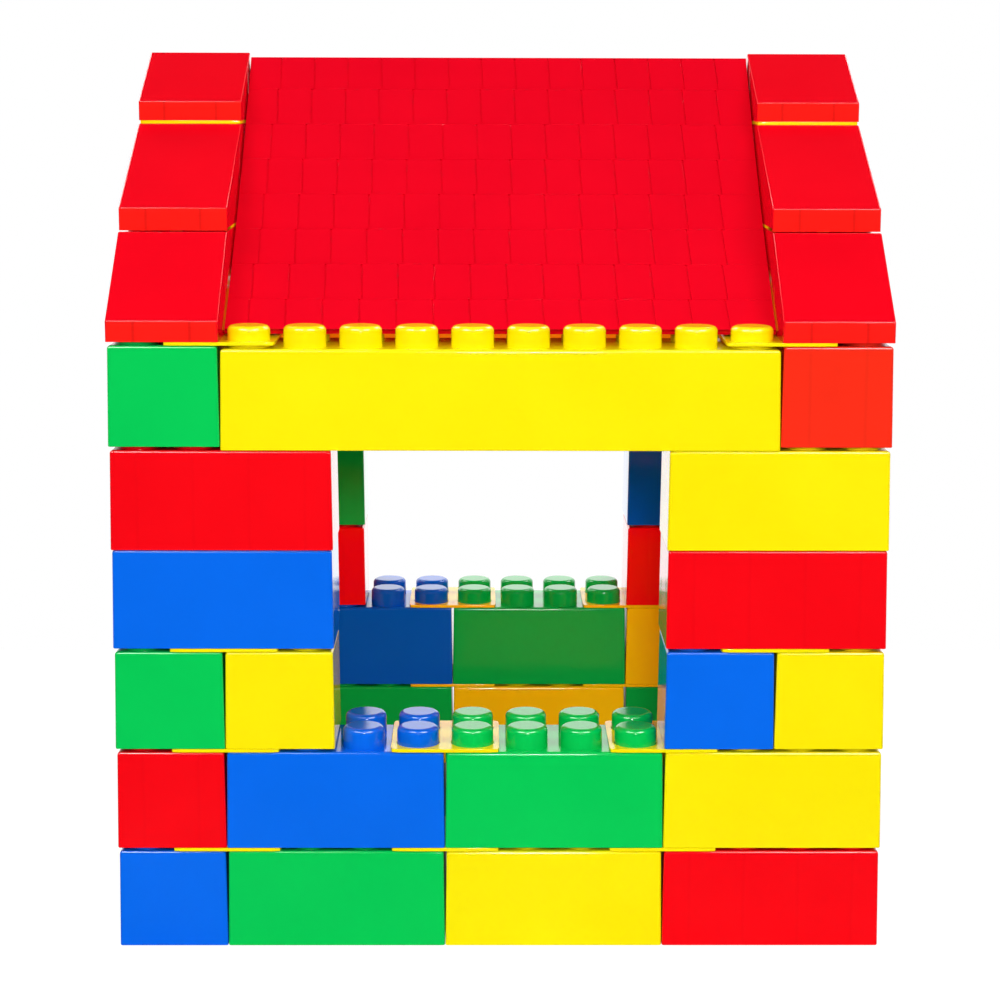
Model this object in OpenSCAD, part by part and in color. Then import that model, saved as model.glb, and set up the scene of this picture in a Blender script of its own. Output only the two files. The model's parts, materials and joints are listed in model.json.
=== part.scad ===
// Play house of giant stud-and-socket building blocks.
// Plan positions are counted in studs: i from the left end, j from the front face.

/* [Blocks] */
// Distance between stud centres
pitch = 75; // [70:0.5:80]
// Height of a block without its studs
block_h = 136; // [125:1:150]
// Gap from the bottom edge of a block to its grid line
side_gap = 0.25; // [0.15:0.05:0.5]
// How much each side leans in from the bottom edge to the top edge
draft = 1.75; // [1:0.25:2.5]
// Rounding of the top edges
edge_r = 4; // [2:0.5:5]
// Side wall thickness at the top of the block
wall = 3; // [2.5:0.5:4]
// Thickness of the top face
cap = 5; // [4:0.5:7]

/* [Studs and sockets] */
// Stud diameter
stud_d = 58; // [54:1:60]
// Stud height above the top face
stud_h = 29; // [26:1:34]
// Rounding of the stud's top edge
stud_edge_r = 7; // [4:1:9]
// Thickness of the stud's side
stud_wall = 3; // [2:0.5:5]
// Thickness of the stud's top
stud_top = 5; // [3:0.5:8]
// Clearance between a stud and what grips it
fit = 0.3; // [0.2:0.05:0.5]
// Width of the ribs that grip the studs
rib_w = 4; // [2:0.5:6]
// Wall of the tubes that grip the studs
tube_wall = 2.5; // [2:0.5:4]

/* [Connector plates] */
// Plate thickness
plate_t = 4.8; // [4:0.2:6]
// Gap from the plate's edge to its grid line
plate_gap = 0.5; // [0.3:0.1:1]
// Rounding of the plate's corners
plate_r = 6; // [3:1:10]

/* [Roof blocks] */
// Height of the upright lip at the foot of a slope
lip_h = 28; // [24:1:34]
// Depth of the slope on a lower roof block
lower_run = 140; // [125:1:148]
// Depth of the slope on an upper roof block
upper_run = 220; // [200:1:223]
// Height of a ridge block
ridge_h = 98; // [85:1:110]

/* [Roof panels] */
// Sheet thickness
panel_t = 3; // [2:0.5:4]
// How far the middle of the panel hangs below a straight line
panel_sag = 14; // [5:1:20]
// Gap from the panel's side edge to the gable grid line
panel_side_gap = 1.5; // [1:0.25:3]
// Gap from the panel's foot to the front row of lintel studs
foot_gap = 2; // [1.6:0.1:3]
// Depth of the edge turned down along the foot
foot_edge_h = 9; // [6:0.5:10]
// Gap from the panel's top edge to the middle of the house
ridge_gap = 0.5; // [0.3:0.1:1]
// How far the panel's top edge lies below the ridge blocks
ridge_drop = 7; // [4:1:12]
// Width of a roof tile
tile_w = 50.2; // [46:0.1:51]
// Length of a roof tile down the slope
tile_len = 75; // [70:1:78]
// Length of the tiles in the top row
top_tile_len = 68; // [60:1:74]
// Step at the lower edge of each tile row
tile_step = 1.5; // [0.5:0.1:2]
// Width of the joint lines between tiles
joint_w = 2; // [1:0.25:3]
// Depth of the joint lines
joint_d = 1; // [0.5:0.1:1.5]
// Sideways shift of the tile pattern
tile_shift = -4; // [-6:0.5:6]

/* [Hidden] */
$fn = 48;
house_studs = 14;
half_studs = house_studs / 2;
wall_studs = 2;
lintel_studs = 10;
roof_block_studs = 4;
tile_joints = 14;
over = 1;

stud_r = stud_d / 2;
top_in = side_gap + draft;
inner_in = top_in + wall;
rib_depth = pitch / 2 - stud_r - fit - inner_in;
tube_r = pitch * sqrt(0.5) - stud_r - fit;
plate_side = 2 * (pitch - plate_gap);

// Underside level of each course
z1 = 0;
z2 = z1 + block_h + plate_t;
z3 = z2 + block_h + plate_t;
z4 = z3 + block_h + plate_t;
z5 = z4 + block_h;
z6_lintel = z5 + block_h;
z6_side = z6_lintel + plate_t;
z7 = z6_side + block_h + plate_t;
z8 = z7 + block_h + plate_t;
z9 = z8 + block_h + plate_t;

red = [0.96, 0.01, 0.07];
yellow = [0.99, 0.9, 0.02];
blue = [0.02, 0.4, 0.92];
green = [0.03, 0.78, 0.33];

// Moves its children to a stud position and level
module at(i, j, z) {
    translate([(i - half_studs) * pitch, (j - half_studs) * pitch, z]) children();
}

// Upright section of a block: leaning sides and rounded top edges
module block_section(studs) {
    len = studs * pitch;
    difference() {
        polygon([[side_gap, 0], [len - side_gap, 0], [len - top_in, block_h], [top_in, block_h]]);
        corner_cut();
        translate([len, 0]) mirror([1, 0]) corner_cut();
    }
}

// Waste outside the rounded top edge
module corner_cut() {
    difference() {
        translate([top_in - over, block_h - edge_r]) square([edge_r + over, edge_r + over]);
        translate([top_in + edge_r, block_h - edge_r]) circle(edge_r);
    }
}

module block_body(nx, ny) {
    intersection() {
        translate([0, ny * pitch, 0]) rotate([90, 0, 0]) linear_extrude(ny * pitch) block_section(nx);
        rotate([90, 0, 90]) linear_extrude(nx * pitch) block_section(ny);
    }
}

module stud() {
    rotate_extrude() {
        square([stud_r - stud_edge_r, stud_h]);
        square([stud_r, stud_h - stud_edge_r]);
        translate([stud_r - stud_edge_r, stud_h - stud_edge_r]) intersection() {
            circle(stud_edge_r);
            square(stud_edge_r);
        }
    }
}

// Studs in the given columns and rows of the top face
module studs(columns, rows) {
    for (i = columns) for (j = rows)
        translate([(i + 0.5) * pitch, (j + 0.5) * pitch, block_h]) stud();
}

// Hollows inside the same studs, open to the inside of the block
module stud_hollows(columns, rows) {
    for (i = columns) for (j = rows)
        translate([(i + 0.5) * pitch, (j + 0.5) * pitch, block_h - cap - over])
            cylinder(r = stud_r - stud_wall, h = cap + over + stud_h - stud_top);
}

// Ribs along the long sides and tubes between the studs
module grip_plan(nx, ny) {
    for (i = [0 : nx - 1]) for (y = [inner_in, ny * pitch - inner_in - rib_depth])
        translate([(i + 0.5) * pitch - rib_w / 2, y]) square([rib_w, rib_depth]);
    for (i = [1 : nx - 1]) for (j = [1 : ny - 1]) translate([i * pitch, j * pitch]) difference() {
        circle(tube_r);
        circle(tube_r - tube_wall);
    }
}

// Ribs on the two end walls
module end_rib_plan(nx, ny) {
    for (j = [0 : ny - 1]) for (x = [inner_in, nx * pitch - inner_in - rib_depth])
        translate([x, (j + 0.5) * pitch - rib_w / 2]) square([rib_depth, rib_w]);
}

// A block of nx by ny studs, hollow and open below
module stud_block(nx, ny) {
    columns = [0 : nx - 1];
    rows = [0 : ny - 1];
    difference() {
        union() {
            block_body(nx, ny);
            studs(columns, rows);
        }
        translate([0, 0, -over]) linear_extrude(block_h - cap + over) difference() {
            translate([inner_in, inner_in]) square([nx * pitch - 2 * inner_in, ny * pitch - 2 * inner_in]);
            grip_plan(nx, ny);
            end_rib_plan(nx, ny);
        }
        stud_hollows(columns, rows);
    }
}

module full_block_x() { stud_block(4, wall_studs); }
module full_block_y() { stud_block(wall_studs, 4); }
module half_block() { stud_block(wall_studs, wall_studs); }

// A square plate with four holes, slipped over the studs across a joint
module connector_plate() {
    near = plate_gap + plate_r;
    far = plate_gap + plate_side - plate_r;
    linear_extrude(plate_t) difference() {
        union() {
            translate([near, plate_gap]) square([far - near, plate_side]);
            translate([plate_gap, near]) square([plate_side, far - near]);
            for (x = [near, far]) for (y = [near, far]) translate([x, y]) circle(plate_r);
        }
        for (i = [0.5, 1.5]) for (j = [0.5, 1.5]) translate([i * pitch, j * pitch]) circle(stud_r + fit);
    }
}

module plates_at(z, places) {
    for (place = places) at(place[0], place[1], z) connector_plate();
}

// Extrudes a drawing of depth and height across a roof block, inset from both sides
module across(inset) {
    translate([inset, 0, 0]) rotate([90, 0, 90]) linear_extrude(wall_studs * pitch - 2 * inset) children();
}

// Roof block with its slope at the front and studs on the flat behind it
module slope_block(run, first_stud_row) {
    depth = roof_block_studs * pitch;
    rise = (block_h - lip_h) / (run - side_gap);
    skin = cap * sqrt(1 + rise * rise);
    inner_lip = lip_h + rise * (inner_in - side_gap) - skin;
    inner_run = run + (skin - cap) / rise;
    columns = [0 : wall_studs - 1];
    rows = [first_stud_row : roof_block_studs - 1];
    difference() {
        union() {
            across(side_gap) polygon([
                [side_gap, 0], [side_gap, lip_h], [run, block_h],
                [depth - top_in, block_h], [depth - side_gap, 0]
            ]);
            studs(columns, rows);
        }
        difference() {
            across(inner_in) polygon([
                [inner_in, -over], [inner_in, inner_lip], [inner_run, block_h - cap],
                [depth - inner_in, block_h - cap], [depth - inner_in, -over]
            ]);
            roof_grips();
        }
        stud_hollows(columns, rows);
    }
}

// Roof block with two slopes that meet at the ridge
module ridge_block() {
    depth = roof_block_studs * pitch;
    middle = depth / 2;
    rise = (ridge_h - lip_h) / (middle - side_gap);
    skin = cap * sqrt(1 + rise * rise);
    inner_lip = lip_h + rise * (inner_in - side_gap) - skin;
    difference() {
        across(side_gap) polygon([
            [side_gap, 0], [side_gap, lip_h], [middle, ridge_h],
            [depth - side_gap, lip_h], [depth - side_gap, 0]
        ]);
        difference() {
            across(inner_in) polygon([
                [inner_in, -over], [inner_in, inner_lip], [middle, ridge_h - skin],
                [depth - inner_in, inner_lip], [depth - inner_in, -over]
            ]);
            roof_grips();
        }
    }
}

// Grips inside a roof block: tubes that run up to its skin, and ribs on the two sides
module roof_grips() {
    translate([0, 0, -2 * over]) linear_extrude(block_h + 2 * over)
        for (j = [1 : roof_block_studs - 1]) translate([pitch, j * pitch]) difference() {
            circle(tube_r);
            circle(tube_r - tube_wall);
        }
    translate([0, 0, -2 * over]) linear_extrude(lip_h + 2 * over)
        for (j = [1 : roof_block_studs - 2]) for (x = [inner_in - over, 2 * pitch - inner_in - rib_depth])
            translate([x, (j + 0.5) * pitch - rib_w / 2]) square([rib_depth + over, rib_w]);
}

module front_slope(i, j, z, run, first_stud_row) {
    at(i, j, z) slope_block(run, first_stud_row);
}

module rear_slope(i, j, z, run, first_stud_row) {
    at(i, j, z) mirror([0, 1, 0]) slope_block(run, first_stud_row);
}

// Section of a roof panel, as depth and height.
// The panel hangs in a shallow curve from the ridge to just behind the front row of lintel studs,
// and lies on the rounded edges of the row behind them.
foot_y = (0.5 - half_studs) * pitch + stud_r + foot_gap;
ridge_end = [-ridge_gap, z9 + ridge_h - ridge_drop];
rest_edge = [(1.5 - half_studs) * pitch - stud_r + stud_edge_r, z6_lintel + block_h + stud_h - stud_edge_r];

// Raises the foot until the sheet clears the studs that it lies on
function seated(z, turns) =
    let (span = ridge_end - [foot_y, z])
    let (length = norm(span))
    let (along = span / length)
    let (toward = rest_edge - [foot_y, z])
    let (u = toward * along / length)
    let (height = toward * [-along[1], along[0]])
    let (short = height + stud_edge_r + fit + panel_t + 4 * panel_sag * u * (1 - u))
    turns == 0 ? z : seated(z + short / (along[0] * (1 - u)), turns - 1);

foot = [foot_y, seated(rest_edge[1], 6)];
slope_len = norm(ridge_end - foot);
slope_dir = (ridge_end - foot) / slope_len;
slope_up = [-slope_dir[1], slope_dir[0]];

// Point at a distance down the slope from the ridge, raised square to the slope
function on_panel(down, raise) =
    let (u = 1 - down / slope_len)
    foot + slope_dir * (slope_len - down) + slope_up * (raise - 4 * panel_sag * u * (1 - u));

row_ends = [0, for (d = top_tile_len; d < slope_len; d = d + tile_len) d, slope_len];
rows = len(row_ends) - 1;
panel_w = lintel_studs * pitch - 2 * panel_side_gap;
ridge_cut = panel_t * slope_dir[1] / slope_dir[0];

module panel_section() {
    polygon([
        for (k = [0 : rows - 1]) each [on_panel(row_ends[k], 0), on_panel(row_ends[k + 1], tile_step)],
        on_panel(slope_len, -foot_edge_h),
        on_panel(slope_len - panel_t, -foot_edge_h),
        on_panel(slope_len - panel_t, -panel_t),
        for (k = [rows - 1 : -1 : 1]) on_panel(row_ends[k], -panel_t),
        on_panel(ridge_cut, -panel_t)
    ]);
}

// Band along the surface of the panel that the joint lines are cut from
module joint_section() {
    polygon([
        for (k = [0 : rows]) on_panel(row_ends[k] + (k == 0 ? -over : k == rows ? over : 0), -joint_d),
        for (k = [rows : -1 : 0]) on_panel(row_ends[k], tile_step + over)
    ]);
}

module along_x(x, width) {
    translate([x, 0, 0]) rotate([90, 0, 90]) linear_extrude(width) children();
}

module roof_panel() {
    difference() {
        along_x(-panel_w / 2, panel_w) panel_section();
        for (n = [0 : tile_joints - 1])
            along_x(tile_shift + (n - (tile_joints - 1) / 2) * tile_w - joint_w / 2, joint_w) joint_section();
    }
}

// Course 1
module course_1_front_left_block() { color(green) at(2, 0, z1) full_block_x(); }
module course_1_front_middle_block() { color(yellow) at(6, 0, z1) full_block_x(); }
module course_1_front_right_block() { color(red) at(10, 0, z1) full_block_x(); }
module course_1_green_blocks() {
    color(green) {
        for (i = [2, 10]) at(i, 12, z1) full_block_x();
        at(0, 8, z1) full_block_y();
    }
}
module course_1_yellow_blocks() {
    color(yellow) {
        at(6, 12, z1) full_block_x();
        at(0, 4, z1) full_block_y();
        at(12, 10, z1) half_block();
    }
}
module course_1_blue_blocks() {
    color(blue) {
        at(0, 0, z1) full_block_y();
        at(0, 12, z1) half_block();
        at(12, 2, z1) half_block();
    }
}
// Joints between the blocks of the two lowest courses, all round but for the doorway
low_front_and_rear = [for (i = [1, 5, 9]) for (j = [0, 12]) [i, j]];
low_sides = [[0, 3], [0, 7], [12, 1], [12, 11], [0, 11]];
module course_1_plates() {
    color(yellow) plates_at(z2 - plate_t, concat(
        [for (place = low_front_and_rear) if (place != [1, 12]) place], low_sides));
}

// Course 2
module course_2_front_left_block() { color(blue) at(2, 0, z2) full_block_x(); }
module course_2_front_middle_block() { color(green) at(6, 0, z2) full_block_x(); }
module course_2_front_right_block() { color(yellow) at(10, 0, z2) full_block_x(); }
module course_2_blue_blocks() {
    color(blue) {
        at(2, 12, z2) full_block_x();
        at(12, 10, z2) half_block();
    }
}
module course_2_green_blocks() {
    color(green) {
        at(6, 12, z2) full_block_x();
        at(0, 4, z2) full_block_y();
    }
}
module course_2_yellow_blocks() {
    color(yellow) {
        at(10, 12, z2) full_block_x();
        at(0, 8, z2) full_block_y();
    }
}
module course_2_red_blocks() {
    color(red) {
        at(0, 0, z2) full_block_y();
        at(0, 12, z2) half_block();
        at(12, 2, z2) half_block();
    }
}
module course_2_plates() {
    color(yellow) plates_at(z3 - plate_t, concat(
        [for (place = low_front_and_rear) if (place[0] != 5 && place != [1, 12]) place], low_sides));
}
module front_sill_plate() { color(yellow) plates_at(z3 - plate_t, [[5, 0]]); }
module rear_sill_plate() { color(yellow) plates_at(z3 - plate_t, [[5, 12]]); }

// Course 3
module course_3_left_jamb_block() { color(yellow) at(2, 0, z3) half_block(); }
module course_3_right_jamb_block() { color(blue) at(10, 0, z3) half_block(); }
module course_3_red_blocks() {
    color(red) {
        for (i = [2, 10]) at(i, 12, z3) half_block();
        at(0, 4, z3) full_block_y();
    }
}
module course_3_green_blocks() {
    color(green) {
        for (place = [[0, 0], [0, 10], [12, 10]]) at(place[0], place[1], z3) full_block_y();
    }
}
module course_3_yellow_blocks() {
    color(yellow) {
        at(12, 0, z3) full_block_y();
        at(0, 8, z3) half_block();
    }
}
module course_3_plates() {
    color(yellow) plates_at(z4 - plate_t,
        [[1, 0], [11, 0], [1, 12], [11, 12], [0, 3], [0, 7], [0, 9]]);
}

// Course 4
module course_4_left_jamb_block() { color(blue) at(0, 0, z4) full_block_x(); }
module course_4_right_jamb_block() { color(red) at(10, 0, z4) full_block_x(); }
module course_4_green_blocks() {
    color(green) {
        at(0, 12, z4) full_block_x();
        at(12, 2, z4) half_block();
    }
}
module course_4_blue_blocks() {
    color(blue) {
        at(10, 12, z4) full_block_x();
        at(0, 6, z4) full_block_y();
    }
}
module course_4_yellow_blocks() {
    color(yellow) {
        at(0, 2, z4) full_block_y();
        at(0, 10, z4) half_block();
        at(12, 10, z4) half_block();
    }
}

// Course 5
module course_5_left_jamb_block() { color(red) at(0, 0, z5) full_block_x(); }
module course_5_right_jamb_block() { color(yellow) at(10, 0, z5) full_block_x(); }
module course_5_yellow_blocks() {
    color(yellow) {
        at(0, 12, z5) full_block_x();
        at(0, 6, z5) full_block_y();
    }
}
module course_5_red_blocks() {
    color(red) {
        at(10, 12, z5) full_block_x();
        at(0, 10, z5) half_block();
        at(12, 2, z5) half_block();
    }
}
module course_5_green_blocks() {
    color(green) {
        at(0, 2, z5) full_block_y();
        at(12, 10, z5) half_block();
    }
}
module course_5_plates() {
    color(yellow) plates_at(z6_lintel, [[0, 1], [0, 5], [0, 9], [0, 11], [12, 1], [12, 11]]);
}

// Course 6
module front_lintel() { color(yellow) at(2, 0, z6_lintel) stud_block(lintel_studs, wall_studs); }
module rear_and_door_lintels() {
    color(yellow) {
        at(2, 12, z6_lintel) stud_block(lintel_studs, wall_studs);
        at(12, 2, z6_side) stud_block(wall_studs, lintel_studs);
    }
}
module course_6_green_blocks() {
    color(green) {
        at(0, 0, z6_side) full_block_y();
        at(0, 8, z6_side) half_block();
        at(12, 12, z6_side) half_block();
    }
}
module course_6_red_blocks() {
    color(red) {
        at(12, 0, z6_side) half_block();
        for (j = [4, 10]) at(0, j, z6_side) full_block_y();
    }
}
module course_6_plates() {
    color(yellow) plates_at(z7 - plate_t,
        [[1, 0], [11, 0], [1, 12], [11, 12], [0, 3], [0, 7], [0, 9], [12, 3], [12, 7], [12, 9]]);
}

// Gables, one at each end of the house
gable_lower_plates = [3, 7, 9];
gable_upper_plates = [5, 7];
module lower_front_slope(i) { color(red) front_slope(i, 0, z7, lower_run, 2); }
module lower_rear_slope(i) { color(red) rear_slope(i, 14, z7, lower_run, 2); }
module lower_infill(i) {
    color(red) {
        at(i, 4, z7) full_block_y();
        at(i, 8, z7) half_block();
    }
}
module lower_plates(i) { color(yellow) plates_at(z8 - plate_t, [for (j = gable_lower_plates) [i, j]]); }
module upper_front_slope(i) { color(red) front_slope(i, 2, z8, upper_run, 3); }
module upper_rear_slope(i) { color(red) rear_slope(i, 12, z8, upper_run, 3); }
module upper_infill(i) { color(red) at(i, 6, z8) half_block(); }
module upper_plates(i) { color(yellow) plates_at(z9 - plate_t, [for (j = gable_upper_plates) [i, j]]); }
module ridge(i) { color(red) at(i, 5, z9) ridge_block(); }

module left_lower_front_slope() { lower_front_slope(0); }
module left_lower_rear_slope() { lower_rear_slope(0); }
module left_lower_infill_blocks() { lower_infill(0); }
module left_lower_plates() { lower_plates(0); }
module left_upper_front_slope() { upper_front_slope(0); }
module left_upper_rear_slope() { upper_rear_slope(0); }
module left_upper_infill_block() { upper_infill(0); }
module left_upper_plates() { upper_plates(0); }
module left_ridge_block() { ridge(0); }
module right_lower_front_slope() { lower_front_slope(12); }
module right_lower_rear_slope() { lower_rear_slope(12); }
module right_lower_infill_blocks() { lower_infill(12); }
module right_lower_plates() { lower_plates(12); }
module right_upper_front_slope() { upper_front_slope(12); }
module right_upper_rear_slope() { upper_rear_slope(12); }
module right_upper_infill_block() { upper_infill(12); }
module right_upper_plates() { upper_plates(12); }
module right_ridge_block() { ridge(12); }

// Roof panels: the same sheet twice, turned round for the rear
module front_roof_panel() { color(red) roof_panel(); }
module rear_roof_panel() { color(red) rotate([0, 0, 180]) roof_panel(); }

course_1_front_left_block();
course_1_front_middle_block();
course_1_front_right_block();
course_1_green_blocks();
course_1_yellow_blocks();
course_1_blue_blocks();
course_1_plates();
course_2_front_left_block();
course_2_front_middle_block();
course_2_front_right_block();
course_2_blue_blocks();
course_2_green_blocks();
course_2_yellow_blocks();
course_2_red_blocks();
course_2_plates();
front_sill_plate();
rear_sill_plate();
course_3_left_jamb_block();
course_3_right_jamb_block();
course_3_red_blocks();
course_3_green_blocks();
course_3_yellow_blocks();
course_3_plates();
course_4_left_jamb_block();
course_4_right_jamb_block();
course_4_green_blocks();
course_4_blue_blocks();
course_4_yellow_blocks();
course_5_left_jamb_block();
course_5_right_jamb_block();
course_5_yellow_blocks();
course_5_red_blocks();
course_5_green_blocks();
course_5_plates();
front_lintel();
rear_and_door_lintels();
course_6_green_blocks();
course_6_red_blocks();
course_6_plates();
left_lower_front_slope();
left_lower_rear_slope();
left_lower_infill_blocks();
left_lower_plates();
left_upper_front_slope();
left_upper_rear_slope();
left_upper_infill_block();
left_upper_plates();
left_ridge_block();
right_lower_front_slope();
right_lower_rear_slope();
right_lower_infill_blocks();
right_lower_plates();
right_upper_front_slope();
right_upper_rear_slope();
right_upper_infill_block();
right_upper_plates();
right_ridge_block();
front_roof_panel();
rear_roof_panel();
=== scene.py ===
"""Looks of the play house of giant building blocks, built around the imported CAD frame."""
import json
import math

import bmesh
import bpy
from mathutils import Matrix, Vector


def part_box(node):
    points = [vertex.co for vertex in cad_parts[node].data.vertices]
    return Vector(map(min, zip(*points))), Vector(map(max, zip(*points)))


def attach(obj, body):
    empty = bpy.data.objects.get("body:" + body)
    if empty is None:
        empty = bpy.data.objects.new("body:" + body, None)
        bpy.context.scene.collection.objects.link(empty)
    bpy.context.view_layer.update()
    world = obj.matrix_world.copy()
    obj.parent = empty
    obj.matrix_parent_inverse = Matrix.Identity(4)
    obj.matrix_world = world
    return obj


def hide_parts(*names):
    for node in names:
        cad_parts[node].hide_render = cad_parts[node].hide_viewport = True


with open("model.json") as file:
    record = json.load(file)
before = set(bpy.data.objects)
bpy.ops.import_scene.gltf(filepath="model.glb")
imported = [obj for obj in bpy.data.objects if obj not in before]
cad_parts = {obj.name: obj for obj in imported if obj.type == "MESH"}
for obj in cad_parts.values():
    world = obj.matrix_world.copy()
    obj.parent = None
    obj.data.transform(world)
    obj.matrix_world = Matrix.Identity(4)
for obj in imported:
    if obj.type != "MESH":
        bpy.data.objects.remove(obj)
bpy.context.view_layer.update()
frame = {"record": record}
SLOT_OF = {part["node"]: part["material_slot"] for part in frame["record"]["subparts"]}
BODY_OF = {node: body for body, nodes in frame["record"]["behaviour"]["bodies"].items() for node in nodes}

# Blocks: all lengths are in metres
MM = 0.001
PITCH = 75 * MM
# Half the width of the house and the depth of its walls, in studs
HALF_HOUSE = 7
WALL_STUDS = 2
BLOCK_H = 136 * MM
SIDE_GAP = 0.25 * MM
DRAFT = 1.75 * MM
WALL = 4.75 * MM
CAP = 5 * MM
TOP_EDGE_R = 4.2 * MM
TOP_EDGE_STEPS = 4
CORNER_R = 3.2 * MM
CORNER_STEPS = 3
RIM_EDGE_R = 1.6 * MM
RIM_EDGE_STEPS = 2

# Studs, and the ribs and tubes that grip them from inside the next block
STUD_R = 29 * MM
STUD_H = 29 * MM
STUD_EDGE_R = 7 * MM
STUD_DRAFT = 0.4 * MM
STUD_ROOT = 2 * MM
FIT = 0.3 * MM
RIB_W = 4 * MM
GRIP_SINK = 1 * MM
TUBE_R = PITCH * math.sqrt(0.5) - STUD_R - FIT
TUBE_WALL = 2.5 * MM
TUBE_SIDES = 20

# Connector plates
PLATE_T = 4.8 * MM
PLATE_GAP = 0.5 * MM
PLATE_CORNER_R = 6 * MM
PLATE_EDGE_R = 0.9 * MM
PLATE_EDGE_STEPS = 2
PLATE_HOLE_R = STUD_R + FIT
PLATE_HOLE_SIDES = 32
# Edges that fold by more than this, in radians, are rounded
PLATE_RIM_ANGLE = 1

# Roof blocks
ROOF_STUDS = 4
ROOF_DEPTH = ROOF_STUDS * PITCH
LIP_H = 28 * MM
LOWER_RUN = 140 * MM
LOWER_STUD_ROW = 2
UPPER_RUN = 220 * MM
UPPER_STUD_ROW = 3
RIDGE_H = 98 * MM
ROOF_EDGE_R = 2.2 * MM
ROOF_EDGE_STEPS = 3
# Front edge of the upper slope blocks, which hides most of the joint below it
DRIP_H = 3.6 * MM
DRIP_T = 2.5 * MM

# Roof panels: a thin curved sheet whose slope line follows the CAD sheet's box
PANEL_T = 3 * MM
PANEL_SAG = 14 * MM
FOOT_EDGE_H = 9 * MM
RIDGE_GAP = 0.5 * MM
CAD_TILE_STEP = 1.5 * MM
FIRST_SLOPE = math.radians(38)
SLOPE_ROUNDS = 8

# Tiles of the panels' relief
TILE_W = 50.2 * MM
TILE_LEN = 75 * MM
TOP_TILE_LEN = 68 * MM
TILE_LAP = 0.3 * MM
TILE_JOINT = 2.1 * MM
TILE_JOINT_DEPTH = 2 * MM
TILE_ROOT = 1 * MM
TILE_EDGE_R = 0.2 * MM
TILE_EDGE_STEPS = 2
TILE_LEAN = 2.7 * MM
FIRST_TILE_JOINT = -328 * MM
TILE_JOINTS = 14
# How far each row of tiles is set off to the left of the top row
ROW_OFFSETS = [0, 1.6 * MM, 6.8 * MM, 8.1 * MM, 10.1 * MM, 10.8 * MM, 15.3 * MM, 16.2 * MM]

# Places this near count as one, and corners this near are welded
TOUCH = 0.01 * MM
WELD = 0.05 * MM
SMOOTH_ANGLE = math.radians(40)
HALF_TURN = Matrix.Rotation(math.pi, 3, "Z")

# Colours
RED = (0.92, 0.001, 0.006)
# A red lightened towards orange: a painted sheen, the reflection of a lamp on the sixth course's red blocks
SHEEN_RED = (0.92, 0.026, 0.008)
GABLE_RED = (0.83, 0.001, 0.01)
# The gable blocks' front and back faces: a lighter, more orange red, a painted sheen
LIP_SHEEN_RED = (0.92, 0.012, 0.008)
ROOF_RED = (0.78, 0.001, 0.013)
YELLOW = (0.97, 0.81, 0.001)
BLUE = (0.001, 0.14, 0.83)
GREEN = (0.001, 0.58, 0.09)

# Skin of the moulded plastic
PLASTIC_IOR = 1.5
BLOCK_GLOSS = 0.5
GABLE_GLOSS = 0.2
SHEET_GLOSS = 0.12
BLOCK_ROUGHNESS = 0.08
SHEET_ROUGHNESS = 0.1
SMOOTHER, ROUGHER = -0.03, 0.04
CLOUD_SCALE, CLOUD_DETAIL = 7, 3
CLOUD_START, CLOUD_END = 0.3, 0.7
CLOUD_SHADE = 0.95
WAVE_SCALE, WAVE_DETAIL = 9, 1
WAVE_STRENGTH = 0.5
WAVE_H = 0.5 * MM
RIB_MARK_DEPTH = 0.4
# Half the width of a rib mark, as a share of the stud pitch
RIB_MARK_HALF_W = 0.05
# A face counts as upright when more than this share of its normal lies along X or along Y
UPRIGHT = 0.95


def finish_nodes(name):
    """A new node material and its shader, with texture coordinates ready"""
    material = bpy.data.materials.new(name)
    material.use_nodes = True
    nodes, links = material.node_tree.nodes, material.node_tree.links
    shader = nodes["Principled BSDF"]
    coords = nodes.new("ShaderNodeTexCoord")
    return material, nodes, links, shader, coords


def feed(links, socket, value):
    """Sets a socket to a plain number or links it to another socket"""
    if isinstance(value, (int, float)):
        socket.default_value = value
    else:
        links.new(value, socket)


def math_node(nodes, links, operation, *values):
    """A maths node fed by sockets or plain numbers"""
    node = nodes.new("ShaderNodeMath")
    node.operation = operation
    for socket, value in zip(node.inputs, values):
        feed(links, socket, value)
    return node.outputs[0]


def mix_value(nodes, links, factor, first, second):
    """A number between two others"""
    node = nodes.new("ShaderNodeMix")
    for socket, value in ((node.inputs[0], factor), (node.inputs[2], first), (node.inputs[3], second)):
        feed(links, socket, value)
    return node.outputs[0]


def fade(nodes, links, value, start, end):
    """Smooth step from 0 to 1 between two values"""
    node = nodes.new("ShaderNodeMapRange")
    node.interpolation_type = "SMOOTHSTEP"
    node.inputs["From Min"].default_value = start
    node.inputs["From Max"].default_value = end
    links.new(value, node.inputs["Value"])
    return node.outputs["Result"]


def split(nodes, links, vector):
    """X, Y and Z of a vector"""
    node = nodes.new("ShaderNodeSeparateXYZ")
    links.new(vector, node.inputs["Vector"])
    return node.outputs


def upright_face(nodes, links, facing):
    """1 on a face whose normal runs along the given direction"""
    return math_node(nodes, links, "GREATER_THAN", math_node(nodes, links, "ABSOLUTE", facing), UPRIGHT)


def rib_mark(nodes, links, along, facing):
    """The faint hollow that a rib behind an upright wall leaves at each stud centre, from -1 to 0"""
    place = math_node(nodes, links, "FRACT", math_node(nodes, links, "DIVIDE", along, PITCH))
    off = math_node(nodes, links, "ABSOLUTE", math_node(nodes, links, "SUBTRACT", place, 0.5))
    away = fade(nodes, links, off, 0, RIB_MARK_HALF_W)
    hollow = math_node(nodes, links, "SUBTRACT", away, 1)
    return math_node(nodes, links, "MULTIPLY", hollow, upright_face(nodes, links, facing))


def noise(nodes, links, coords, scale, detail):
    """A noise pattern that stays with the piece"""
    node = nodes.new("ShaderNodeTexNoise")
    node.inputs["Scale"].default_value = scale
    node.inputs["Detail"].default_value = detail
    links.new(coords.outputs["Object"], node.inputs["Vector"])
    return node.outputs["Fac"]


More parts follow.
